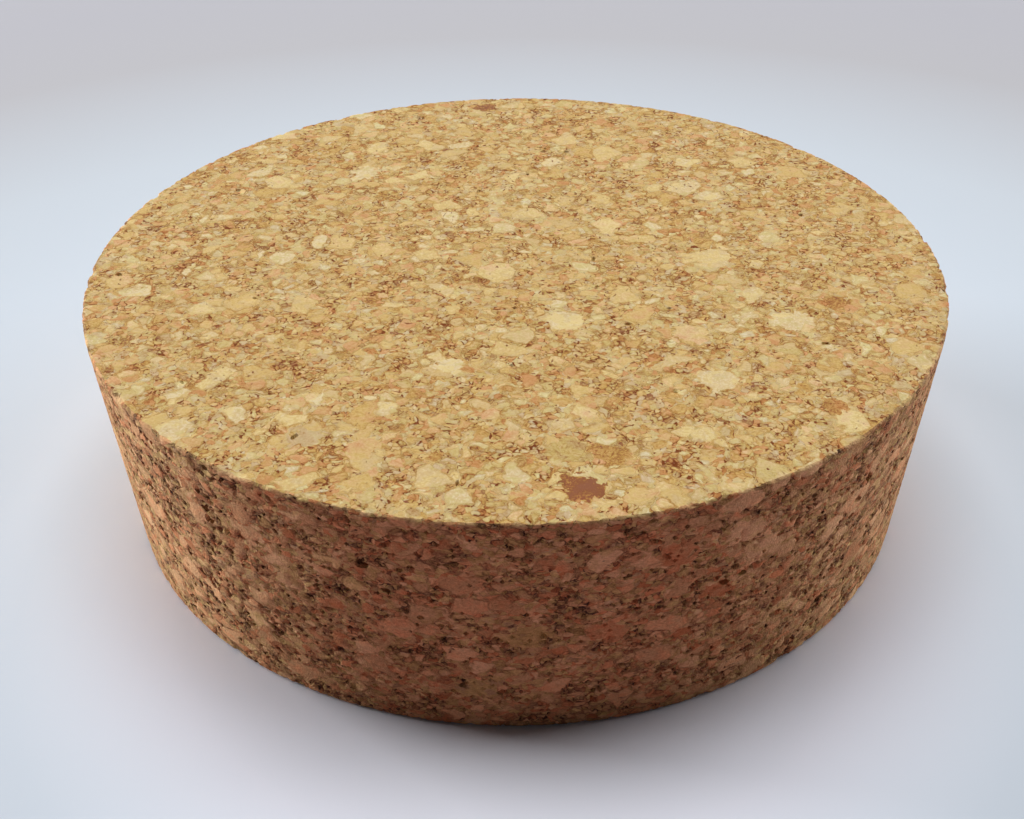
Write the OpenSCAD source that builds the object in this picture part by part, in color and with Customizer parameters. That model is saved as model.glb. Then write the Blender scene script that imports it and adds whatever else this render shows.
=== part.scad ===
// Tapered jar stopper turned from one block of granulated cork.
// Cork granules are pressed with a binder into a block, and the stopper is cut and ground from it,
// so it is one solid: a frustum that stands on its narrow end, with its axis on Z and its base at Z = 0.
// Where granules don't quite meet, or were torn out by the grinding, the surface has small open voids.

/* [Body] */
// Diameter of the wide end, which stays above the mouth of the jar
top_d = 105; // [60:1:200]
// Diameter of the narrow end, which goes into the jar first
bottom_d = 100; // [55:1:195]
// Height from the narrow end to the wide end
height = 30; // [18:1:60]

/* [Rims] */
// Radius that sanding leaves on the wide end's rim
top_rim_r = 0.3; // [0.1:0.05:2]
// Radius that sanding leaves on the narrow end's rim
bottom_rim_r = 0.5; // [0.1:0.05:2]

/* [Voids in the side] */
// Number of loosely packed spots around the side
side_spots = 38; // [0:1:60]
// Number of open voids in each such spot
spot_voids = 3; // [1:1:4]
// Farthest that a void lies from the middle of its spot, along the side
spot_spread = 3.2; // [1:0.1:4]
// Width of the widest void in the side
side_void_w = 1.9; // [0.6:0.1:3]
// Depth of the deepest void in the side
side_void_depth = 0.9; // [0.2:0.1:2]
// How much longer the voids are along the side than down it, because the press flattens the granules
flattening = 1.5; // [1:0.1:2.5]

/* [Voids in the ends] */
// Number of open voids in each flat end
end_voids = 32; // [0:1:120]
// Length of the longest void in an end
end_void_l = 1.4; // [0.6:0.1:3]
// How much longer a void in an end is than wide, because it is a short seam between two granules
end_slimness = 2.4; // [1:0.1:4]
// Depth of the deepest void in an end
end_void_depth = 0.6; // [0.2:0.1:2]

/* [Chips] */
// Number of granules torn out of each rim
chips = 16; // [0:1:40]
// Length of the longest chip along its rim
chip_l = 3; // [1:0.1:5]
// Depth of the deepest chip, square to the bevel that it makes
chip_depth = 0.5; // [0.2:0.1:1.5]

/* [Hidden] */

top_r = top_d / 2;
bottom_r = bottom_d / 2;
taper = atan((top_r - bottom_r) / height); // lean of the side, in degrees from the axis
turn_fn = 180;                             // steps in a full turn of the body
rim_steps = 3;                             // steps in the rounding of a rim
corners = [4, 6];                          // fewest and most corners of a void between angular granules
corner_shift = 0.6;                        // most that a corner moves along, as a share of an even step
nearest = 0.6;                             // nearest corner of a void, as a share of the farthest
smallest = 0.45;                           // smallest void or chip, as a share of the largest
lean_max = 18;                             // most that a spot's voids lean from square to the side, in degrees
clear = 1;                                 // how far each cutter stands out of the surface that it opens
whole_r = 4;                               // radius round the middle of each end that has no void
chip_shift = 0.8;                          // most that a chip moves along its rim, as a share of an even step

// Spots keep this far from the rims, which have chips of their own.
rim_gap = side_void_w + spot_spread / flattening;

// A repeatable number from 0 to 1 for each use of the n-th void.
function chance(n, use) = let (s = sin(n * 127.1 + use * 311.7) * 43758.5453) s - floor(s);
function between(low, high, share) = low + (high - low) * share;
// A repeatable number from -most to most.
function swing(most, n, use) = between(-most, most, chance(n, use));
// Size of the n-th void as a share of the largest: most are small.
function size_share(n) = between(smallest, 1, pow(chance(n, 3), 2));
// Radius of the side at a height above the narrow end.
function side_r(z) = between(bottom_r, top_r, z / height);
// Points on an arc about a centre, between two directions in degrees.
function arc(centre, r, from, to) = [
    for (k = [0:rim_steps])
        let (a = between(from, to, k / rim_steps))
        centre + r * [cos(a), sin(a)]
];

// Half of the section: the tapered outline, with a round at each rim that meets both of its faces.
module section() {
    top_c = [top_r - top_rim_r * (1 + sin(taper)) / cos(taper), height - top_rim_r];
    bottom_c = [bottom_r - bottom_rim_r * (1 - sin(taper)) / cos(taper), bottom_rim_r];
    polygon(concat(
        [[0, 0]],
        arc(bottom_c, bottom_rim_r, -90, -taper),
        arc(top_c, top_rim_r, -taper, 90),
        [[0, height]]
    ));
}

// An angular pit that opens towards +Z and goes down to a depth below Z = 0.
module pit(n, w, depth, flat = 1) {
    count = round(between(corners[0], corners[1], chance(n, 8)));
    outline = [
        for (k = [0:count - 1])
            let (
                a = (k + corner_shift * chance(n, 10 + k)) * 360 / count,
                r = w / 2 * between(nearest, 1, chance(n, 20 + k))
            )
            [r * cos(a), r * sin(a) / flat]
    ];
    translate([0, 0, -depth])
        linear_extrude(depth + clear) polygon(outline);
}

// Voids in loosely packed spots around the side, flattened along the press. A spot's voids lean alike.
module side_pits() {
    for (g = [0:1:side_spots - 1], k = [0:1:spot_voids - 1]) {
        n = g * spot_voids + k;
        spot_z = between(rim_gap, height - rim_gap, chance(g, 4));
        z = spot_z + swing(spot_spread / flattening, n, 5);
        along = swing(spot_spread, n, 6) / side_r(z) * 180 / PI;
        rotate([0, 0, 360 * (g + chance(g, 7)) / side_spots + along])
            translate([side_r(z), 0, z])
                rotate([swing(lean_max, g, 1), 90 + taper + swing(lean_max, g, 2), 0])
                    rotate([0, 0, 90])
                        pit(n, side_void_w * size_share(n), side_void_depth * size_share(n), flattening);
    }
}

// Voids scattered evenly over a flat end at Z = 0 that faces +Z.
module end_pits(end_r, first) {
    for (n = [first:1:first + end_voids - 1]) {
        share = size_share(n);
        rotate([0, 0, 360 * chance(n, 5)])
            translate([between(whole_r, end_r - chip_l, sqrt(chance(n, 4))), 0, 0])
                rotate([0, 0, 360 * chance(n, 9)])
                    pit(n, end_void_l * share, end_void_depth * share, end_slimness);
    }
}

// Chips spaced around a rim at Z = 0, each a bevel where a granule left the rim.
module rim_chips(rim_r, first) {
    for (k = [0:1:chips - 1]) {
        share = size_share(first + k);
        rotate([0, 0, 360 * (k + chip_shift * chance(first + k, 4)) / chips])
            translate([rim_r, 0, 0])
                rotate([0, 45, 0])
                    rotate([0, 0, 90])
                        pit(first + k, chip_l * share, chip_depth * share);
    }
}

module stopper() {
    color("#C8A671")
        difference() {
            rotate_extrude($fn = turn_fn) section();
            side_pits();
            translate([0, 0, height]) {
                end_pits(top_r, 1000);
                rim_chips(top_r, 2000);
            }
            mirror([0, 0, 1]) {
                end_pits(bottom_r, 3000);
                rim_chips(bottom_r, 4000);
            }
        }
}

stopper();
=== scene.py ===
# %% [markdown]
# # A granulated cork stopper
# The real stopper starts as bark. It is milled to granules, the granules are pressed flat with a
# binder into a block, and a frustum is cut from the block: two sanded ends and a ground side. So the
# whole look comes from one solid that is full of granules, and from how each face cuts through them.
# This lesson builds the body as one fine mesh, and gives the mesh and the colour the same granules.

# %% Load the part
import math

import bpy
import numpy as np
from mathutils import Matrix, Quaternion, Vector


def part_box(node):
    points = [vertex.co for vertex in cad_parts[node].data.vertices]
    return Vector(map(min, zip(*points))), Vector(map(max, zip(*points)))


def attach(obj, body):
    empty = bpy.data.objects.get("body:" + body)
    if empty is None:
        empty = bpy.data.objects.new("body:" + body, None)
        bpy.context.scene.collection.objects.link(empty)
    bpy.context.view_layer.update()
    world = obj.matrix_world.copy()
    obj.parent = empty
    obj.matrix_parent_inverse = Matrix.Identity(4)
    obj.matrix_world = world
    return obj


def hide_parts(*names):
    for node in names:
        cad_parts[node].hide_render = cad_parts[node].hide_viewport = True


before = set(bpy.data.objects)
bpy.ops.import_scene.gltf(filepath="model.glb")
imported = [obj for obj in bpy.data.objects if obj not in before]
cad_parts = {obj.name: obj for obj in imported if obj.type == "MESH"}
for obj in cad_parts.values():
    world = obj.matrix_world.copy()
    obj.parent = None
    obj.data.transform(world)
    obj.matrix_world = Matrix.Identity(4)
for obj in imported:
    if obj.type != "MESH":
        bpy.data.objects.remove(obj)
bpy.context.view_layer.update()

mm = 0.001

# %% [markdown]
# ## Sizes
# The part already has every size, so they are read from it. The side is widest where it meets the
# rounding of each rim. Those two rings give the taper, and with it the radii of the sharp corners
# that the rims would have unrounded. How far each flat end stays short of its corner is the set-back
# of the rounding.

# %% Measure the part
near_base = 1.5 * mm     # the lower rim's rounding ends below this height
touch = 0.001 * mm       # places this close together count as one
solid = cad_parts["stopper"]
low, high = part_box("stopper")
height = high.z - low.z
places = np.array([v.co for v in solid.data.vertices])
reach = np.hypot(places[:, 0], places[:, 1])
heights = places[:, 2]
lower = np.argmax(np.where(heights < low.z + near_base, reach, 0))
upper = np.argmax(reach)
slope = (reach[upper] - reach[lower]) / (heights[upper] - heights[lower])
bottom_r = reach[lower] - slope * (heights[lower] - low.z)
top_r = reach[upper] + slope * (high.z - heights[upper])
bottom_rim = bottom_r - reach[abs(heights - low.z) < touch].max()
top_rim = top_r - reach[abs(heights - high.z) < touch].max()
print(f"height {height / mm:.2f} mm, radii {top_r / mm:.2f} and {bottom_r / mm:.2f} mm")
print(f"rims set back by {top_rim / mm:.2f} and {bottom_rim / mm:.2f} mm")

# %% [markdown]
# ## The blank
# A lathe would turn this body from a profile, and a modeller would start from a cylinder. The
# cylinder is better here, because its two ends can be filled with a grid: the voids are as small on
# the ends as on the side, and a fan of long triangles couldn't hold them. The steps are a bare tube,
# its top ring opened to the wide end's radius, a flat lip turned in at each end, the rims rounded
# while there is still room beside them, and then the fine cells of the side and of the ends.

# %% Selecting by place
cell = 0.3 * mm
lip = 1.5 * mm           # width of the flat lip at each end, and how deep the carving's core lies


def select_edges(piece, test):
    """Selects the edges whose two ends pass a test of place, and nothing else. Gives their number."""
    bpy.ops.object.mode_set(mode="OBJECT")
    mesh = piece.data
    place = np.zeros(len(mesh.vertices) * 3)
    mesh.vertices.foreach_get("co", place)
    place = place.reshape(-1, 3)
    ends = np.zeros(len(mesh.edges) * 2, int)
    mesh.edges.foreach_get("vertices", ends)
    ends = ends.reshape(-1, 2)
    chosen = test(place[ends[:, 0]], place[ends[:, 1]])
    touched = np.zeros(len(mesh.vertices), bool)
    touched[ends[chosen].ravel()] = True
    mesh.vertices.foreach_set("select", touched)
    mesh.edges.foreach_set("select", chosen)
    mesh.polygons.foreach_set("select", np.zeros(len(mesh.polygons), bool))
    bpy.ops.object.mode_set(mode="EDIT")
    bpy.ops.mesh.select_mode(type="EDGE")
    return int(chosen.sum())


def on_ring(z, radius, slack=0.02 * mm):
    """A test for the edges that lie on the ring of a height and a radius."""
    def near(place):
        return (abs(place[:, 2] - z) < slack) & (abs(np.hypot(place[:, 0], place[:, 1]) - radius) < slack)
    return lambda a, b: near(a) & near(b)


def up_the_side(a, b):
    """A test for the edges that run up the side from rim to rim."""
    return abs(a[:, 2] - b[:, 2]) > height / 2


def across_the_lips(a, b):
    """A test for the edges that run across the flat lips, towards the axis."""
    run = abs(np.hypot(a[:, 0], a[:, 1]) - np.hypot(b[:, 0], b[:, 1]))
    return (run > lip / 2) & (abs(a[:, 2] - b[:, 2]) < touch)


# %% Open the tube and turn in its lips
around = 4 * round(2 * math.pi * top_r / cell / 4)
bpy.ops.object.select_all(action="DESELECT")
bpy.ops.mesh.primitive_cylinder_add(
    vertices=around, radius=bottom_r, depth=height, end_fill_type="NOTHING",
    location=(0, 0, low.z + height / 2),
)
cork = bpy.context.active_object
cork.name = "granulated_cork_body"
bpy.ops.object.transform_apply(location=True, rotation=True, scale=True)

select_edges(cork, on_ring(high.z, bottom_r))
widen = top_r / bottom_r
bpy.ops.transform.resize(value=(widen, widen, 1), center_override=(0, 0, high.z))
for z, radius in ((high.z, top_r), (low.z, bottom_r)):
    select_edges(cork, on_ring(z, radius))
    bpy.ops.mesh.extrude_region_move()
    turn_in = (radius - lip) / radius
    bpy.ops.transform.resize(value=(turn_in, turn_in, 1), center_override=(0, 0, z))
print(f"{around} points around the tube")

# %% Round the rims, then cut the cells
rim_steps = 3
for z, radius, set_back in ((high.z, top_r, top_rim), (low.z, bottom_r, bottom_rim)):
    select_edges(cork, on_ring(z, radius))
    bpy.ops.mesh.bevel(
        offset=set_back, offset_type="OFFSET", segments=rim_steps, affect="EDGES", clamp_overlap=False,
    )
select_edges(cork, up_the_side)
bpy.ops.mesh.subdivide(number_cuts=round(height / cell) - 1)
select_edges(cork, across_the_lips)
bpy.ops.mesh.subdivide(number_cuts=round(lip / cell) - 1)
for z, radius in ((high.z, top_r), (low.z, bottom_r)):
    select_edges(cork, on_ring(z, radius - lip))
    bpy.ops.mesh.fill_grid(span=around // 4, use_interp_simple=True)
bpy.ops.mesh.select_all(action="SELECT")
bpy.ops.mesh.normals_make_consistent(inside=False)
bpy.ops.object.mode_set(mode="OBJECT")
print(f"the blank has {len(cork.data.polygons)} cells of about {cell / mm:.1f} mm")

# %% [markdown]
# ## Granules
# Cork granules come through several sieves, so a block holds crumbs, small granules and a few large
# ones. Painting them one over another is how they are drawn here: a layer of crumbs everywhere, then
# sparse layers of larger granules that cover what is under them. Each layer is a Voronoi pattern,
# whose cells are as angular as milled bark, and each cell's own random colour says how dark the
# granule is, how it is tinted and whether it is there at all. The pattern fills space and isn't
# painted on, so it runs on from the ends to the side, round the rims and down into the voids. The
# mesh and the colours both need it, so functions write it into any node tree.

# %% One helper for every node
def add(tree, kind, inputs=None, **settings):
    """Adds a node with its settings. Its inputs take numbers, nodes or sockets, by name or place."""
    node = tree.nodes.new(kind)
    for name, value in settings.items():
        setattr(node, name, value)
    ready = [socket for socket in node.inputs if socket.enabled]
    for key, value in (inputs or {}).items():
        socket = ready[key] if isinstance(key, int) else next(s for s in ready if s.name == key)
        if isinstance(value, bpy.types.Node):
            value = next(output for output in value.outputs if output.enabled)
        if isinstance(value, bpy.types.NodeSocket):
            tree.links.new(value, socket)
        else:
            socket.default_value = value
    return node


# %% Draw one sieve's granules
sieves = (  # size in mm, share of places filled, most cut off each edge in mm, tones, spread of tints
    (0.70, 1.00, 0.0, (0.18, 0.88), 1.0),
    (1.50, 0.50, 0.3, (0.28, 0.95), 0.9),
    (3.40, 0.30, 0.9, (0.45, 1.00), 0.5),
)
sieve_axis = (0.3, 0.5, 0.8)
sieve_turn = 1.1         # radians from one sieve to the next, so that their cells don't line up
more_pale = 0.7          # a power under 1 makes more granules pale than dark
never = 99               # a cut in mm that leaves nothing of a granule
seam_reach = 0.17        # how far in mm a seam reaches from a granule's edge


def sieve(tree, in_mm, layer):
    """Adds one sieve's granules at a place in mm.

    Gives each granule's three random numbers, its tone-tint-chance, how far in mm a point lies
    inside it, which is below 0 outside, and how near its edge is, from 0 to 1.
    """
    size, share, cut, tones, tint_spread = sieves[layer]
    turned = add(
        tree, "ShaderNodeVectorRotate",
        {"Vector": in_mm, "Axis": sieve_axis, "Angle": sieve_turn * layer},
    )
    cells = {"Vector": turned, "Scale": 1 / size}
    numbers = add(tree, "ShaderNodeTexVoronoi", cells).outputs["Color"]
    to_edge = add(tree, "ShaderNodeTexVoronoi", cells, feature="DISTANCE_TO_EDGE")
    own = add(tree, "ShaderNodeSeparateXYZ", {0: numbers})
    tone = add(tree, "ShaderNodeMath", {0: own.outputs["X"], 1: more_pale}, operation="POWER")
    tone = add(tree, "ShaderNodeMapRange", {"Value": tone, "To Min": tones[0], "To Max": tones[1]})
    tint = add(
        tree, "ShaderNodeMapRange",
        {"Value": own.outputs["Y"], "To Min": 0.5 - tint_spread / 2, "To Max": 0.5 + tint_spread / 2},
    )
    spot = add(tree, "ShaderNodeCombineXYZ", {0: tone, 1: tint, 2: own.outputs["Z"]})
    cut_off = add(tree, "ShaderNodeMath", {0: own.outputs["Y"], 1: -cut}, operation="MULTIPLY")
    absent = add(tree, "ShaderNodeMath", {0: own.outputs["Z"], 1: share}, operation="GREATER_THAN")
    inside = add(tree, "ShaderNodeMath", {0: to_edge, 1: size, 2: cut_off}, operation="MULTIPLY_ADD")
    inside = add(tree, "ShaderNodeMath", {0: absent, 1: -never, 2: inside}, operation="MULTIPLY_ADD")
    from_edge = add(tree, "ShaderNodeMath", {0: inside}, operation="ABSOLUTE")
    seam = add(tree, "ShaderNodeMapRange", {"Value": from_edge, "From Min": seam_reach, "From Max": 0.0})
    return numbers, spot, inside, seam


# %% Lay one sieve over another
pressed = 1.45           # how much flatter the press leaves a granule
wanders = ((1.8, 0.9), (0.45, 0.35))  # size and strength in mm of the wander of every edge
frays = (0.4, 1.2)       # how far in mm the crumbs and small granules push a listed one's edge
soft_edge = 0.15         # half the width in mm over which one granule changes to the next


def sieved(tree, place):
    """Adds every sieve's granules at a place in metres, the larger over the smaller.

    Gives the place in mm with all its wander, the same without the finest, the same with frayed
    edges, each granule's tone-tint-chance, how near its edge is, and where the crumbs still show.
    """
    in_mm = add(
        tree, "ShaderNodeVectorMath", {0: place, 1: (1 / mm, 1 / mm, pressed / mm)},
        operation="MULTIPLY",
    )
    for wander, strength in wanders:
        calm = in_mm
        noise = add(tree, "ShaderNodeTexNoise", {"Vector": in_mm, "Scale": 1 / wander, "Detail": 0})
        in_mm = add(
            tree, "ShaderNodeVectorMath",
            {0: noise.outputs["Color"], 1: (strength,) * 3, 2: in_mm}, operation="MULTIPLY_ADD",
        )
    frayed, crumbs = in_mm, 1.0
    for layer in range(len(sieves)):
        numbers, own_spot, inside, own_seam = sieve(tree, in_mm, layer)
        if layer < len(frays):
            frayed = add(
                tree, "ShaderNodeVectorMath", {0: numbers, 1: (frays[layer],) * 3, 2: frayed},
                operation="MULTIPLY_ADD",
            )
        if layer == 0:
            spot, seam = own_spot, own_seam
            continue
        covers = add(
            tree, "ShaderNodeMapRange", {"Value": inside, "From Min": -soft_edge, "From Max": soft_edge},
            interpolation_type="SMOOTHSTEP",
        )
        spot = add(
            tree, "ShaderNodeMix", {"Factor": covers, "A": spot, "B": own_spot}, data_type="VECTOR",
        )
        bare = add(tree, "ShaderNodeMath", {0: 1.0, 1: covers}, operation="SUBTRACT")
        crumbs = add(tree, "ShaderNodeMath", {0: crumbs, 1: bare}, operation="MULTIPLY")
        seam = add(tree, "ShaderNodeMath", {0: seam, 1: bare}, operation="MULTIPLY")
        seam = add(tree, "ShaderNodeMath", {0: seam, 1: own_seam}, operation="MAXIMUM")
    return in_mm, calm, frayed, spot, seam, crumbs


# %% [markdown]
# ## Seams
# Pressing never quite closes a block. Here and there two granules don't meet, and a short seam is
# left between them, painted dark for the shade inside it. Seams gather where the granules are
# loosely packed, and more among crumbs. Darkening every granule's edge alike would look drawn with a
# pen. So the seams are a noise that is stretched along each granule, and they open only where the
# noise, the looseness of the packing, a near edge and crumbs add up to enough. Edges get painted
# shade too, darker with the looseness, and none at all where the packing is tight.

# %% Open the seams
lie_axis = (0.6, 0.4, 0.7)
lie_turn = 9.0           # radians that a granule may lie round that axis, by its own chance
patch = 3.2              # size in mm of a loosely packed patch
edge_shade, loose_shade = 0.40, 2.8       # painted shade at granule edges, and how much more of it where it is loose
seam_pull, crumb_pull = 0.1, 0.06     # how much an edge and crumbs help a seam to open
slender = (1, 1, 0.3)    # seams are drawn out along the last of a granule's axes


def granules(tree, place, seam_size, clumping, opens):
    """Adds the whole block at a place in metres, and names what it gives.

    in_mm is the place in mm, along is the place turned as each granule lies, and frayed is the place
    with frayed edges. spot is each granule's tone-tint-chance. edge is the painted shade that darkens
    a granule towards its edge, and gap is 1 where a seam is open.
    """
    in_mm, calm, frayed, spot, seam, crumbs = sieved(tree, place)
    lie = add(tree, "ShaderNodeSeparateXYZ", {0: spot})
    lie = add(tree, "ShaderNodeMath", {0: lie.outputs["Z"], 1: lie_turn}, operation="MULTIPLY")
    along = add(tree, "ShaderNodeVectorRotate", {"Vector": calm, "Axis": lie_axis, "Angle": lie})
    loose = add(
        tree, "ShaderNodeTexNoise",
        {"Vector": in_mm, "Scale": 1 / patch, "Detail": 2.5, "Roughness": 0.65},
    )
    loose = add(tree, "ShaderNodeMath", {0: loose, 1: 0.5}, operation="SUBTRACT")
    edge = add(tree, "ShaderNodeMath", {0: loose, 1: loose_shade, 2: edge_shade}, operation="MULTIPLY_ADD")
    edge = add(tree, "ShaderNodeMath", {0: edge, 1: 0.0}, operation="MAXIMUM")
    edge = add(tree, "ShaderNodeMath", {0: edge, 1: seam}, operation="MULTIPLY")
    streaks = add(tree, "ShaderNodeVectorMath", {0: along, 1: slender}, operation="MULTIPLY")
    streaks = add(tree, "ShaderNodeTexNoise", {"Vector": streaks, "Scale": 1 / seam_size, "Detail": 0.6})
    opening = add(tree, "ShaderNodeMath", {0: loose, 1: clumping, 2: streaks}, operation="MULTIPLY_ADD")
    opening = add(tree, "ShaderNodeMath", {0: seam, 1: seam_pull, 2: opening}, operation="MULTIPLY_ADD")
    opening = add(
        tree, "ShaderNodeMath", {0: crumbs, 1: crumb_pull, 2: opening}, operation="MULTIPLY_ADD",
    )
    gap = add(
        tree, "ShaderNodeMapRange", {"Value": opening, "From Min": opens[0], "From Max": opens[1]},
        interpolation_type="SMOOTHSTEP",
    )
    return {"in_mm": in_mm, "along": along, "frayed": frayed, "spot": spot, "edge": edge, "gap": gap}


# Size in mm of the seams, how much they gather where it is loose, and the sums at which they begin to
# open and are open.
sanded_seams = (0.45, 0.32, (0.68, 0.84))
ground_seams = (0.65, 0.50, (0.69, 0.86))

# %% [markdown]
# ## Where the surface can sink
# The saw and the sander cut through the block, and the cut face isn't smooth: gaps between granules
# are open, some crumbs are gone, and the rims have crumbled. Each of these is a point of the blank
# that sinks into the body. Sinking along the surface's normals would cross near a rim and fold the
# mesh over, so every point aims at a core that lies a lip's width inside the body instead. How
# upright that aim is tells the ends, at 1, from the side, at 0, and the rims lie between.

# %% Aim every point at the core
carving = bpy.data.node_groups.new("carving", "GeometryNodeTree")
for direction in ("INPUT", "OUTPUT"):
    carving.interface.new_socket("Geometry", in_out=direction, socket_type="NodeSocketGeometry")
blank = add(carving, "NodeGroupInput")
place = add(carving, "GeometryNodeInputPosition")
axes = add(carving, "ShaderNodeSeparateXYZ", {0: place})
level = add(carving, "ShaderNodeVectorMath", {0: place, 1: (1, 1, 0)}, operation="MULTIPLY")
radius = add(carving, "ShaderNodeVectorMath", {0: level}, operation="LENGTH").outputs["Value"]
core_z = add(
    carving, "ShaderNodeClamp", {"Value": axes.outputs["Z"], "Min": low.z + lip, "Max": high.z - lip},
)
core_r = add(
    carving, "ShaderNodeMapRange",
    {"Value": core_z, "From Min": low.z, "From Max": high.z,
     "To Min": bottom_r - lip, "To Max": top_r - lip},
)
shrink = add(carving, "ShaderNodeMath", {0: core_r, 1: radius}, operation="DIVIDE")
shrink = add(carving, "ShaderNodeMath", {0: shrink, 1: 1.0}, operation="MINIMUM")
core_xy = add(carving, "ShaderNodeVectorMath", {0: level, "Scale": shrink}, operation="SCALE")
core_up = add(carving, "ShaderNodeCombineXYZ", {2: core_z})
core = add(carving, "ShaderNodeVectorMath", {0: core_xy, 1: core_up}, operation="ADD")
aim = add(carving, "ShaderNodeVectorMath", {0: core, 1: place}, operation="SUBTRACT")
aim = add(carving, "ShaderNodeVectorMath", {0: aim}, operation="NORMALIZE")
upright = add(carving, "ShaderNodeSeparateXYZ", {0: aim}).outputs["Z"]
upright = add(carving, "ShaderNodeMath", {0: upright}, operation="ABSOLUTE")
on_side = add(carving, "ShaderNodeMath", {0: 1.0, 1: upright}, operation="SUBTRACT")
on_rim = add(carving, "ShaderNodeMath", {0: on_side, 1: upright}, operation="MULTIPLY")
on_rim = add(carving, "ShaderNodeMath", {0: on_rim, 1: 4.0}, operation="MULTIPLY")  # 1 at its highest
print(f"{len(carving.nodes)} nodes aim the points")

# %% [markdown]
# ## Voids and chips
# The part's solid already holds the largest voids and the chips of the rims, each with straight
# walls. A ray from just outside each point of the blank, along its aim, meets the solid at once where
# it is whole, and only at a void's floor where it is open. The ray starts a little to one side, by a
# noise, so that the walls come out as ragged as torn cork. On the rims it doesn't, because there a
# step to the side would change how far the ray has to go.

# %% Cast the rays
stand_off = 0.1 * mm     # how far outside the skin a ray starts
raggedness = 0.8 * mm    # how far to the side it may start
tears = 0.9 * mm         # size of the tears in a void's wall
least_void = 0.12 * mm   # a shallower dip is only a facet or the slant of a ray, and isn't a void
noise = add(carving, "ShaderNodeTexNoise", {"Vector": place, "Scale": 1 / tears, "Detail": 2})
shift = add(
    carving, "ShaderNodeVectorMath", {0: noise.outputs["Color"], 1: (0.5,) * 3}, operation="SUBTRACT",
)
shift = add(carving, "ShaderNodeVectorMath", {0: shift, 1: aim}, operation="CROSS_PRODUCT")
off_rim = add(
    carving, "ShaderNodeMapRange",
    {"Value": on_rim, "From Max": 0.2, "To Min": raggedness, "To Max": 0.0},
)
shift = add(carving, "ShaderNodeVectorMath", {0: shift, "Scale": off_rim}, operation="SCALE")
source = add(
    carving, "ShaderNodeVectorMath", {0: aim, 1: (-stand_off,) * 3, 2: place}, operation="MULTIPLY_ADD",
)
source = add(carving, "ShaderNodeVectorMath", {0: source, 1: shift}, operation="ADD")
part = add(carving, "GeometryNodeObjectInfo", {"Object": solid})
ray = add(
    carving, "GeometryNodeRaycast",
    {"Target Geometry": part.outputs["Geometry"], "Source Position": source, "Ray Direction": aim,
     "Ray Length": 2 * lip},
)
void = add(
    carving, "ShaderNodeMath", {0: ray.outputs["Hit Distance"], 1: stand_off}, operation="SUBTRACT",
)
is_void = add(carving, "ShaderNodeMath", {0: void, 1: least_void}, operation="GREATER_THAN")
void = add(carving, "ShaderNodeMath", {0: void, 1: is_void}, operation="MULTIPLY")
print(f"rays of {2 * lip / mm:.0f} mm look for voids deeper than {least_void / mm:.2f} mm")

# %% [markdown]
# ## Gaps, crumbs and granules
# Sanding closes the ends, so there the granules stand within hundredths of a millimetre, and gaps are
# shallow. The side is ground, which tears at the granules: they stand at different heights, the gaps
# are deeper, and crumbs are missing. All of it is sinking too, so it is one sum, in metres.

# %% Add the finer relief
side_gap, end_gap = 0.30 * mm, 0.08 * mm      # depths of the gaps
side_step, end_step = 0.07 * mm, 0.02 * mm    # how far granules stand above one another
crumb_depth = 0.18 * mm                       # how deep a missing crumb leaves the side
rim_loss = 0.30 * mm                          # how deep the rims have crumbled
rim_bite = 1.1                                # size in mm of the crumbled places
bitten = (0.50, 0.75)                         # noise at which they begin, and are at their deepest
torn_out = (0.90, 0.94)                       # chance at which granules begin to be missing, and are
block = granules(carving, place, *ground_seams)
spot = add(carving, "ShaderNodeSeparateXYZ", {0: block["spot"]})
tint, chance = spot.outputs["Y"], spot.outputs["Z"]
gap_depth = add(
    carving, "ShaderNodeMapRange", {"Value": on_side, "To Min": end_gap, "To Max": side_gap},
)
step = add(carving, "ShaderNodeMapRange", {"Value": on_side, "To Min": end_step, "To Max": side_step})
sunk = add(
    carving, "ShaderNodeMath", {0: block["gap"], 1: gap_depth, 2: void}, operation="MULTIPLY_ADD",
)
unevenness = add(carving, "ShaderNodeMath", {0: tint, 1: 0.5}, operation="SUBTRACT")
sunk = add(carving, "ShaderNodeMath", {0: unevenness, 1: step, 2: sunk}, operation="MULTIPLY_ADD")
missing = add(
    carving, "ShaderNodeMapRange", {"Value": chance, "From Min": torn_out[0], "From Max": torn_out[1]},
)
missing = add(carving, "ShaderNodeMath", {0: missing, 1: on_side}, operation="MULTIPLY")
sunk = add(carving, "ShaderNodeMath", {0: missing, 1: crumb_depth, 2: sunk}, operation="MULTIPLY_ADD")
crumbling = add(
    carving, "ShaderNodeTexNoise", {"Vector": block["in_mm"], "Scale": 1 / rim_bite, "Detail": 2},
)
crumbling = add(
    carving, "ShaderNodeMapRange", {"Value": crumbling, "From Min": bitten[0], "From Max": bitten[1]},
)
crumbling = add(carving, "ShaderNodeMath", {0: crumbling, 1: on_rim}, operation="MULTIPLY")
hollow = add(carving, "ShaderNodeMath", {0: sunk, 1: 1 / mm}, operation="MULTIPLY")
sunk = add(carving, "ShaderNodeMath", {0: crumbling, 1: rim_loss, 2: sunk}, operation="MULTIPLY_ADD")

# %% Sink the points
move = add(carving, "ShaderNodeVectorMath", {0: aim, "Scale": sunk}, operation="SCALE")
marked = add(
    carving, "GeometryNodeStoreNamedAttribute",
    {"Geometry": blank, "Name": "hollow_mm", "Value": hollow}, data_type="FLOAT", domain="POINT",
)
carved = add(carving, "GeometryNodeSetPosition", {"Geometry": marked, "Offset": move})
add(carving, "NodeGroupOutput", {"Geometry": carved})
print(f"{len(carving.nodes)} nodes carve the blank")

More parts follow.
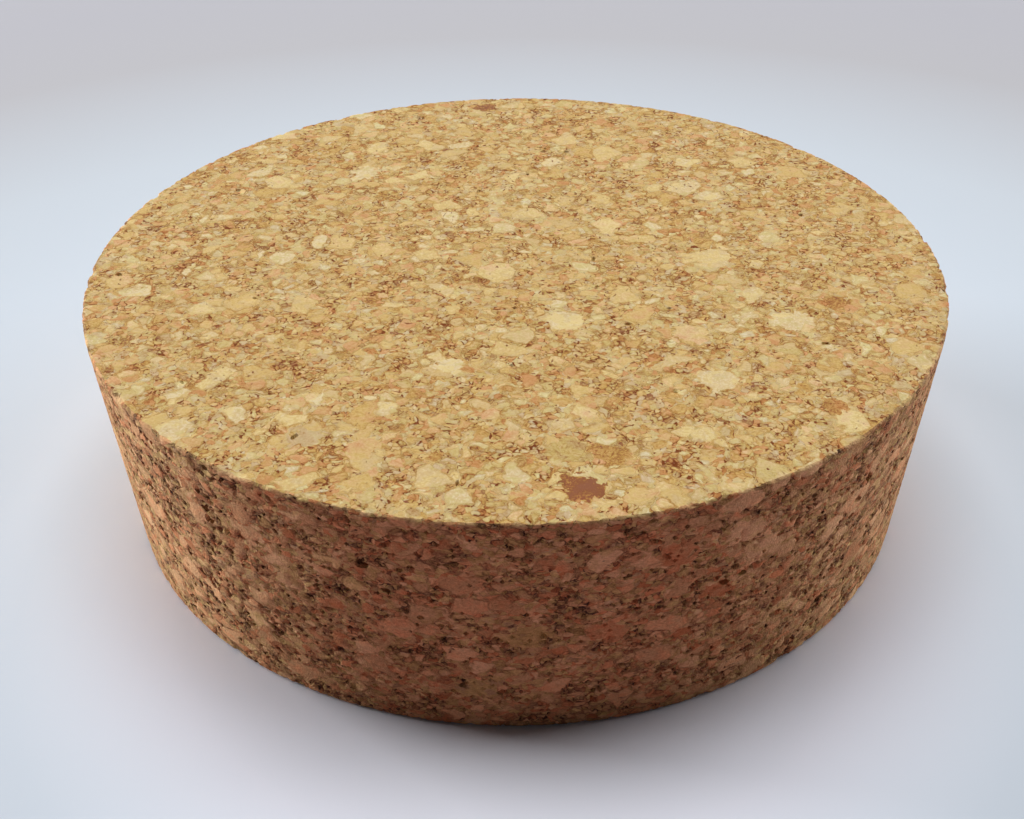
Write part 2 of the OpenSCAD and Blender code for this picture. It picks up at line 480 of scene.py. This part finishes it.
# %% [markdown]
# ## Two finishes, one skin
# The sanded ends and the ground side look different, so their faces get a slot each now, while they
# can still be told apart by the way they face. The rims go with the side, because the sander only
# touches the flats. Then the carving is applied. The blank's cells are all as fine as the finest void
# needs, which wastes most of them on flat ground, and a collapse decimation takes those out first.
# The thinned mesh is triangles, all closed. Its shading is smooth, apart from creases such as the
# edge of a void. A sander also leaves a crisp edge round each flat end, so the border between the two
# finishes is marked sharp too.

# %% Give the ends and the side their slots
flattest = 0.98          # how far up or down a face of the side or of a rim may look


def select_side(piece):
    """Selects the faces of the side and of the rims, which the sanding of the ends doesn't reach."""
    bpy.ops.object.mode_set(mode="OBJECT")
    normals = np.zeros(len(piece.data.polygons) * 3)
    piece.data.polygons.foreach_get("normal", normals)
    chosen = abs(normals.reshape(-1, 3)[:, 2]) < flattest
    bpy.ops.object.mode_set(mode="EDIT")
    bpy.ops.mesh.select_mode(type="FACE")
    bpy.ops.mesh.select_all(action="DESELECT")
    bpy.ops.object.mode_set(mode="OBJECT")
    piece.data.polygons.foreach_set("select", chosen)
    bpy.ops.object.mode_set(mode="EDIT")
    return int(chosen.sum())


ends_slot, side_slot = range(2)
for slot in (ends_slot, side_slot):
    bpy.ops.object.material_slot_add()
side_faces = select_side(cork)
cork.active_material_index = side_slot
bpy.ops.object.material_slot_assign()
bpy.ops.object.mode_set(mode="OBJECT")
print(f"{side_faces} of {len(cork.data.polygons)} faces are on the side")

# %% Carve the blank and thin it out
most_triangles = 190_000
carver = cork.modifiers.new("carving", "NODES")
carver.node_group = carving
bpy.ops.object.modifier_apply(modifier=carver.name)
thinner = cork.modifiers.new("thinning", "DECIMATE")
thinner.ratio = min(0.9, most_triangles / (2 * len(cork.data.polygons)))
thinner.use_collapse_triangulate = True
bpy.ops.object.modifier_apply(modifier=thinner.name)
depths = np.zeros(len(cork.data.vertices), np.float32)
cork.data.attributes["hollow_mm"].data.foreach_get("value", depths)
print(f"{len(cork.data.polygons)} triangles, sunk by up to {depths.max():.2f} mm")

# %% Smooth the shading, but keep the ends crisp
crease = math.radians(50)    # edges that bend more than this, as round a void, stay sharp
bpy.ops.object.shade_smooth_by_angle(angle=crease)
bpy.ops.object.mode_set(mode="EDIT")
bpy.ops.mesh.select_all(action="DESELECT")
cork.active_material_index = side_slot
bpy.ops.object.material_slot_select()
bpy.ops.mesh.region_to_loop()
bpy.ops.mesh.mark_sharp()
bpy.ops.object.mode_set(mode="OBJECT")
sharp = sum(edge.use_edge_sharp for edge in cork.data.edges)
print(f"{sharp} of {len(cork.data.edges)} edges are sharp")

# %% [markdown]
# ## A flat pattern for the skin
# The colours below need no unwrapping, because they are found from each point's place in space. But
# a model that leaves Blender carries them as a picture, so the skin needs a flat pattern in which
# nothing overlaps and a millimetre is the same size everywhere. Seams cut by hand and unwrapped
# would be bent and stretched by the voids. The body is simple enough to lay out by rule: two discs
# for the ends, and the side rolled off as two half-turn strips below them.

# %% Lay out the skin
sheet = 4 * top_r            # two discs of the wide end's width, side by side
spare = 0.5 * mm             # bare margin between the pieces of the pattern
turn_spare = 0.02            # radians of margin at the start of a strip
mesh = cork.data
corners = len(mesh.loops)
corner_vertex = np.zeros(corners, int)
mesh.loops.foreach_get("vertex_index", corner_vertex)
place_of = np.zeros(len(mesh.vertices) * 3)
mesh.vertices.foreach_get("co", place_of)
corner = place_of.reshape(-1, 3)[corner_vertex].reshape(-1, 3, 3)
slots = np.zeros(len(mesh.polygons), int)
mesh.polygons.foreach_get("material_index", slots)
middle = corner.mean(axis=1)
ends = (slots == ends_slot)[:, None]
upper_half = (middle[:, 2] > low.z + height / 2)[:, None]
packed = (sheet / 2 - spare) / (2 * top_r)
disc_x = np.where(upper_half, top_r, 3 * top_r) + corner[:, :, 0] * packed
disc_y = sheet - top_r + corner[:, :, 1] * packed
turn = np.arctan2(corner[:, :, 1], corner[:, :, 0])
middle_turn = np.arctan2(middle[:, 1], middle[:, 0])[:, None]
turn = turn - 2 * math.pi * np.round((turn - middle_turn) / (2 * math.pi))
far_half = middle_turn > 0
strip_turn = np.where(far_half, turn, turn + math.pi) + turn_spare
strip_x = spare + top_r * np.maximum(strip_turn, 0)
strip_y = np.where(far_half, height + 4 * spare, spare) + corner[:, :, 2] - low.z
flat_x = np.where(ends, disc_x, strip_x) / sheet
flat_y = np.where(ends, disc_y, strip_y) / sheet
pattern = mesh.uv_layers.new(name="OFBake")
pattern.data.foreach_set("uv", np.stack([flat_x, flat_y], axis=-1).ravel())
print(f"flat pattern from {flat_x.min():.3f} to {flat_x.max():.3f} across")
print(f"and from {flat_y.min():.3f} to {flat_y.max():.3f} up")

# %% [markdown]
# ## Cork as a material
# Both finishes are the same stuff, agglomerated natural cork bound with a clear resin, so the same
# functions make both, and each gets its own colours. Cork is matt: its skin is open cells a few
# hundredths of a millimetre wide, so roughness is near 1 and there is hardly any gloss. The cells are
# too fine to show, so they are drawn about five times as coarse.

# %% Colours written as they look
def linear(colour):
    """An sRGB hex colour as the linear colour that a shader works in."""
    parts = [int(colour[k:k + 2], 16) / 255 for k in (1, 3, 5)]
    return [p / 12.92 if p <= 0.04045 else ((p + 0.055) / 1.055) ** 2.4 for p in parts] + [1.0]


def set_stops(colour_ramp, stops):
    """Gives a colour ramp its stops, from a dictionary of places and hex colours."""
    elements = colour_ramp.elements
    while len(elements) < len(stops):
        elements.new(0.5)
    for element, (position, colour) in zip(elements, sorted(stops.items())):
        element.position = position
        element.color = linear(colour)


# %% Granules that are placed one by one
def place_by_hand(tree, block, standing_out):
    """Lays single granules over the block, each a ball at a place in mm with its width, tone and tint.

    The wander and the fraying push a place by half their strength on average, which the ball allows
    for. A placed granule has no seams in it, no dark edge, and no further use for its chance.
    """
    push = (sum(frays) + sum(strength for _, strength in wanders)) / 2
    for x, y, z, width, tone, tint in standing_out:
        away = add(
            tree, "ShaderNodeVectorMath",
            {0: block["frayed"], 1: (x + push, y + push, z * pressed + push)}, operation="DISTANCE",
        ).outputs["Value"]
        begins, ends = width / 2 + soft_edge, width / 2 - soft_edge
        covers = add(
            tree, "ShaderNodeMapRange", {"Value": away, "From Min": begins, "From Max": ends},
            interpolation_type="SMOOTHSTEP",
        )
        block["spot"] = add(
            tree, "ShaderNodeMix", {"Factor": covers, "A": block["spot"], "B": (tone, tint, 0)},
            data_type="VECTOR",
        )
        bare = add(tree, "ShaderNodeMath", {0: 1.0, 1: covers}, operation="SUBTRACT")
        for name in ("gap", "edge"):
            block[name] = add(tree, "ShaderNodeMath", {0: block[name], 1: bare}, operation="MULTIPLY")


# %% The colour of the skin
variations = {  # the place it reads, its size in mm, its detail, and how far it shifts the tone
    "grain": ("along", 0.35, 3, 0.80),
    "cells": ("in_mm", 0.25, 1, 0.70),
    "mottle": ("in_mm", 1.5, 2, 0.65),
    "patches": ("in_mm", 14, 2, 0.15),
}
mottle_tint = -0.9       # how far the mottle shifts the tint, against the tone
void_shade_depths = (0.5, 0.9)  # depths in mm at which a void's painted shade begins, and is full


def skin_colour(tree, block, tones, tints, painted_shade_colour):
    """Adds the colour: each granule's tone and tint, varied inside it, with painted shade in open gaps,
    deep voids and towards each granule's edge.
    """
    own = add(tree, "ShaderNodeSeparateXYZ", {0: block["spot"]})
    tone = own.outputs["X"]
    swings = {}
    for name, (reads, size, detail, strength) in variations.items():
        noise = add(
            tree, "ShaderNodeTexNoise",
            {"Vector": block[reads], "Scale": 1 / size, "Detail": detail},
        )
        swing = add(tree, "ShaderNodeMath", {0: noise, 1: 0.5}, operation="SUBTRACT")
        tone = add(tree, "ShaderNodeMath", {0: swing, 1: strength, 2: tone}, operation="MULTIPLY_ADD")
        swings[name] = swing
    # Painted shade: each granule is darker towards its edge, where it meets the next.
    kept = add(tree, "ShaderNodeMath", {0: 1.0, 1: block["edge"]}, operation="SUBTRACT")
    tone = add(tree, "ShaderNodeMath", {0: tone, 1: kept}, operation="MULTIPLY")
    tint = add(
        tree, "ShaderNodeMath", {0: swings["mottle"], 1: mottle_tint, 2: own.outputs["Y"]},
        operation="MULTIPLY_ADD",
    )
    toned = add(tree, "ShaderNodeValToRGB", {"Fac": tone})
    set_stops(toned.color_ramp, tones)
    tinted = add(tree, "ShaderNodeValToRGB", {"Fac": tint})
    set_stops(tinted.color_ramp, tints)
    skin = add(
        tree, "ShaderNodeMix", {"Factor": 1.0, "A": toned, "B": tinted},
        data_type="RGBA", blend_type="MULTIPLY",
    )
    depth = add(tree, "ShaderNodeAttribute", attribute_name="hollow_mm").outputs["Fac"]
    hollow = add(
        tree, "ShaderNodeMapRange",
        {"Value": depth, "From Min": void_shade_depths[0], "From Max": void_shade_depths[1]},
    )
    # Painted shade: open seams and deep voids take one dark colour, which stands in for the shade inside
    # them.
    dark = add(tree, "ShaderNodeMath", {0: block["gap"], 1: hollow}, operation="MAXIMUM")
    return add(
        tree, "ShaderNodeMix", {"Factor": dark, "A": skin, "B": linear(painted_shade_colour)}, data_type="RGBA",
    )


# %% Granulated cork
pore = 0.2 * mm          # about five times a real cell, which would be too fine to show


def granulated_cork(name, seams, tones, tints, painted_shade_colour, standing_out, bump):
    """Agglomerated cork with one finish: its granules, their grain, its gaps and its open voids."""
    material = bpy.data.materials.new(name)
    material.use_nodes = True
    tree = material.node_tree
    tree.nodes.clear()
    place = add(tree, "ShaderNodeTexCoord").outputs["Object"]
    block = granules(tree, place, *seams)
    place_by_hand(tree, block, standing_out)
    skin = skin_colour(tree, block, tones, tints, painted_shade_colour)
    pores = add(tree, "ShaderNodeTexNoise", {"Vector": place, "Scale": 1 / pore, "Detail": 2})
    skin_bump = add(tree, "ShaderNodeBump", {"Height": pores, "Strength": 1.0, "Distance": bump})
    cork_surface = add(
        tree, "ShaderNodeBsdfPrincipled",
        {"Base Color": skin, "Roughness": 0.92, "Specular IOR Level": 0.25, "Normal": skin_bump},
    )
    add(tree, "ShaderNodeOutputMaterial", {"Surface": cork_surface})
    print(f"{name}: {len(tree.nodes)} nodes")
    return material


# %% [markdown]
# ## The sanded ends
# The two flats are sanded last. Sanding cuts every granule level and wipes the dust off, so the ends
# are pale, honey to straw, with pinkish and greenish granules among them and short brown seams. An
# image of cork could be laid over them, but it would stretch at the rims and repeat itself. So the
# granules are drawn, and the few that catch the eye are placed one by one: a red-brown piece of
# bark, an ochre one, a grey-green one, and some pale ones.

# %% The sanded ends
top_z = round(high.z / mm)  # in whole mm
top_granules = (
    # x and y in mm, width in mm, tone, tint
    (6.2, -46.7, 4.1, -0.08, 0.33), (6.9, -46.8, 3.7, -0.08, 0.33), (9.3, -41.2, 3.6, 0.17, 0.33),
    (5.0, -40.4, 4.2, 0.36, 0.72), (38.1, -11.8, 3.0, 0.14, 0.25), (-17.1, -10.5, 1.8, 0.06, 0.40),
    (33.7, -33.1, 2.8, 0.20, 0.15), (-4.3, 48.9, 3.0, 0.05, 0.50), (5.7, -15.4, 4.3, 0.98, 0.40),
    (19.6, -18.2, 4.0, 0.92, 0.20), (31.8, -15.5, 4.5, 0.90, 0.50), (-7.5, -25.0, 3.0, 0.97, 0.50),
    (24.6, -0.4, 4.5, 0.90, 0.40), (21.8, -27.9, 4.5, 0.90, 0.50), (-20.9, 25.4, 4.0, 0.95, 0.50),
    (18.9, -37.9, 3.0, 0.92, 0.40), (-15.7, -40.0, 3.5, 0.72, 0.20), (-35.7, -36.8, 4.0, 0.88, 0.50),
    (-21.4, -37.9, 3.5, 0.55, 0.95),
)
sanded_cork = granulated_cork(
    "sanded_granulated_cork", sanded_seams,
    tones={
        0.00: "#8C583E", 0.06: "#996641", 0.14: "#A87C48", 0.23: "#B69056", 0.35: "#C1A068",
        0.50: "#C9AC79", 0.65: "#CDB282", 0.80: "#D1B98C", 0.92: "#D5BF95", 1.00: "#DBCAA5",
    },
    tints={
        0.00: "#F4CDB4", 0.10: "#FCE4D2", 0.22: "#FFF3DA", 0.35: "#FFF8D4", 0.50: "#FFFBF6",
        0.68: "#FBFFE4", 0.82: "#F8FBFC", 1.00: "#F6F2FA",
    },
    painted_shade_colour="#743608",
    standing_out=[(x, y, top_z, *rest) for x, y, *rest in top_granules],
    bump=0.05 * mm,
)

# %% [markdown]
# ## The ground side
# The side is ground to its taper on a belt. The belt pulls at the granules and tears their cells open,
# and the side is painted redder and darker than the ends: partly the ground cork's own colour, partly
# painted shade of its torn cells, with near-black gaps of painted shade and a rougher skin. The
# granules are cut across here and look like lenses that lie level, because the press came from above.
# It is the same block that the ends cut through, so only the colours, the seams, the placed granules
# and the depth of the bump are its own.

# %% The ground side
def on_the_side(turn, z):
    """A place on the side in mm, from degrees round to the right of the front and a height in mm."""
    r = (bottom_r + (top_r - bottom_r) * z * mm / height) / mm
    return (r * math.sin(math.radians(turn)), -r * math.cos(math.radians(turn)), z)


side_granules = (
    # degrees round from the front, height in mm, width in mm, tone, tint
    (-27.2, 17.9, 4.0, 0.75, 0.60), (26.1, 24.3, 4.2, 0.85, 0.50), (28.8, 21.0, 5.0, 0.80, 0.50),
    (17.6, 23.8, 4.5, 0.62, 0.12), (10.1, 14.3, 4.6, 0.66, 0.15), (-4.8, 6.2, 4.2, 0.60, 0.90),
    (0.6, 14.3, 5.0, 0.50, 0.80), (23.4, 16.9, 3.6, 0.55, 0.10), (-21.6, 16.0, 2.4, 0.60, 0.10),
)
# The side's tones and seam colour are darker and redder than the ends': partly its own colour, partly
# painted shade.
ground_cork = granulated_cork(
    "ground_granulated_cork", ground_seams,
    tones={
        0.00: "#5A3D2A", 0.10: "#805B41", 0.25: "#A07E57", 0.45: "#B9976B", 0.65: "#C8A67A",
        0.85: "#D7B689", 1.00: "#E5C697",
    },
    tints={
        0.00: "#EEBCA2", 0.13: "#FBD6C2", 0.30: "#FFECDC", 0.50: "#FFF8EE", 0.70: "#FBFADC",
        0.86: "#F0F6D0", 1.00: "#EEEEE8",
    },
    painted_shade_colour="#452A1A",
    standing_out=[(*on_the_side(turn, z), *rest) for turn, z, *rest in side_granules],
    bump=0.12 * mm,
)
cork.material_slots[ends_slot].material = sanded_cork
cork.material_slots[side_slot].material = ground_cork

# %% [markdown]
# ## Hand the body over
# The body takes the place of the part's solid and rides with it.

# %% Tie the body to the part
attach(cork, "root")
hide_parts("stopper")
print(f"{cork.name} stands for the part's solid")

# %% [markdown]
# ## Floor
# The stopper stands on white paper. How pale paper looks and how much light it gives back are one
# thing in a room. Here they are two, so that the paper can look right without lighting the cork
# wrongly: the eye sees one colour and the bounced light takes another, and a Light Path node tells
# which is asked for. Light and shade are painted into the colour that is seen: it is palest close in
# front of the stopper, a painted light that lifts the stopper's shadow there, and greyer further off,
# a painted falloff of the light. A long way off it fades into the backdrop, so that no edge of the
# paper shows from low down.

# %% Lay the paper
paper_r = 3.0            # metres, well past the end of the fading
bpy.ops.object.select_all(action="DESELECT")
bpy.ops.mesh.primitive_circle_add(
    vertices=96, radius=paper_r, fill_type="NGON", location=(0, 0, low.z),
)
paper = bpy.context.active_object
paper.name = "paper_floor"
bpy.ops.object.transform_apply(location=True, rotation=True, scale=True)
print(f"{paper.name} is {2 * paper_r:.0f} m wide and lies at {low.z / mm:.2f} mm")

# %% Colour the paper
backdrop_colour = "#C6C8D0"
bounce_colour = "#C9A3B2"
painted_light_middle = (0, -25 * mm, 0)        # middle of the painted pool of light, under the near half of the stopper
grading = (30 * mm, 230 * mm)         # how far from there the painted light and shade begin and end
fading = (250 * mm, 900 * mm)         # how far from the stopper's axis the fading begins and ends


def in_view(tree):
    """1 for a ray that shows a surface to the eye, straight on or in a gloss, and 0 for a bounce."""
    rays = add(tree, "ShaderNodeLightPath").outputs
    shown = add(
        tree, "ShaderNodeMath", {0: rays["Is Camera Ray"], 1: rays["Is Glossy Ray"]},
        operation="MAXIMUM",
    )
    return add(tree, "ShaderNodeMath", {0: shown, 1: rays["Is Transmission Ray"]}, operation="MAXIMUM")


paper_material = bpy.data.materials.new("white_paper")
paper_material.use_nodes = True
tree = paper_material.node_tree
tree.nodes.clear()
seen = in_view(tree)
spot = add(tree, "ShaderNodeTexCoord").outputs["Object"]
away = add(tree, "ShaderNodeVectorMath", {0: spot, 1: painted_light_middle}, operation="DISTANCE")
away = add(
    tree, "ShaderNodeMapRange",
    {"Value": away.outputs["Value"], "From Min": grading[0], "From Max": grading[1]},
)
paper_painted_light = add(tree, "ShaderNodeValToRGB", {"Fac": away})
set_stops(paper_painted_light.color_ramp, {
    0.00: "#F0F3FE", 0.06: "#EEF1FD", 0.12: "#DEE6F2", 0.15: "#D6E0EC", 0.24: "#CFD9E4",
    0.36: "#CCD6E1", 0.53: "#C8D0D9", 0.80: "#B9B9BE", 1.00: "#B7B7BE",
})
shade = add(
    tree, "ShaderNodeMix", {"Factor": seen, "A": linear(bounce_colour), "B": paper_painted_light},
    data_type="RGBA",
)
sheet_surface = add(tree, "ShaderNodeBsdfDiffuse", {"Color": shade})
far_off = add(tree, "ShaderNodeVectorMath", {0: spot}, operation="LENGTH").outputs["Value"]
faded = add(
    tree, "ShaderNodeMapRange",
    {"Value": far_off, "From Min": fading[0], "From Max": fading[1], "To Max": seen},
    interpolation_type="SMOOTHSTEP",
)
haze = add(tree, "ShaderNodeEmission", {"Color": linear(backdrop_colour)})
sheet_surface = add(tree, "ShaderNodeMixShader", {0: faded, 1: sheet_surface, 2: haze})
add(tree, "ShaderNodeOutputMaterial", {"Surface": sheet_surface})
paper.data.materials.append(paper_material)
print(f"the paper is graded to {grading[1] / mm:.0f} mm and fades from {fading[0] / mm:.0f} mm")

# %% [markdown]
# ## Light
# The windows are behind the stopper, so the wide end and both flanks are lit, and the near side is
# in shade, with little more than what the paper gives back. Two low lamps stand for them, one behind
# on the left and one behind on the right. Both are kept from reaching round to the near side. A third
# lamp, high up and a little behind, gives the wide end most of its light. The room's own light is
# dim. Strengths are set so that a colour on the wide end shows about as it is written.

# %% One helper for every lamp
def lamp(name, direction, distance, width, tall, strength):
    """A soft lamp that points at the stopper. A strength of 1 shows a colour as written."""
    light = bpy.data.lights.new(name, "AREA")
    light.shape = "RECTANGLE"
    light.size = width
    light.size_y = tall
    light.energy = strength * math.pi ** 2 * distance ** 2
    thing = bpy.data.objects.new(name, light)
    bpy.context.scene.collection.objects.link(thing)
    towards = Vector(direction).normalized()
    thing.location = towards * distance
    thing.rotation_euler = (-towards).to_track_quat("-Z", "Y").to_euler()
    thing.visible_camera = False
    print(f"{name}: {width} by {tall} m, {light.energy:.1f} W")


def from_side(turn, rise):
    """A direction from degrees round to the right of the front, and degrees above level."""
    turn, rise = math.radians(turn), math.radians(rise)
    return (math.sin(turn) * math.cos(rise), -math.cos(turn) * math.cos(rise), math.sin(rise))


# %% Light it
room_light = (0.03, 0.03, 0.03, 1)
lamp("window_left", from_side(-114, 10), 2.0, 1.0, 0.6, 1.60)
lamp("window_right", from_side(120, 10), 2.0, 1.6, 0.8, 1.10)
lamp("window_behind", from_side(180, 75), 2.0, 1.4, 1.4, 0.74)
room = bpy.data.worlds.new("room")
bpy.context.scene.world = room
room.use_nodes = True
tree = room.node_tree
tree.nodes.clear()
air = add(
    tree, "ShaderNodeMix", {"Factor": in_view(tree), "A": room_light, "B": linear(backdrop_colour)},
    data_type="RGBA",
)
sky = add(tree, "ShaderNodeBackground", {"Color": air})
add(tree, "ShaderNodeOutputWorld", {"Surface": sky})

# %% [markdown]
# ## Camera
# The camera is close, at less than two widths of the stopper, which is why the near rim looks so much
# wider than the far one. It looks down on the middle of the wide end, and then its axis tips a little
# further down, which lifts the stopper in the frame.

# %% Place the camera
elevation = math.radians(28.32)
camera_away = 173.7 * mm
aim_right, aim_down, lean = 0.00298, 0.10906, 0.00913  # radians
camera_data = bpy.data.cameras.new("camera")
camera_data.sensor_width = 36
camera_data.lens = 48.6
camera_data.clip_start = 0.01
camera = bpy.data.objects.new("camera", camera_data)
bpy.context.scene.collection.objects.link(camera)
target = Vector((0, 0, high.z))
back = Vector((0, -math.cos(elevation), math.sin(elevation)))
camera.location = target + camera_away * back
camera.rotation_mode = "QUATERNION"
camera.rotation_quaternion = (
    (-back).to_track_quat("-Z", "Y")
    @ Quaternion((0, 1, 0), aim_right)
    @ Quaternion((1, 0, 0), -aim_down)
    @ Quaternion((0, 0, 1), -lean)
)
bpy.context.scene.camera = camera
bpy.context.scene.view_settings.view_transform = "Standard"
print(f"the camera stands {camera_away / mm:.1f} mm from the middle of the wide end")
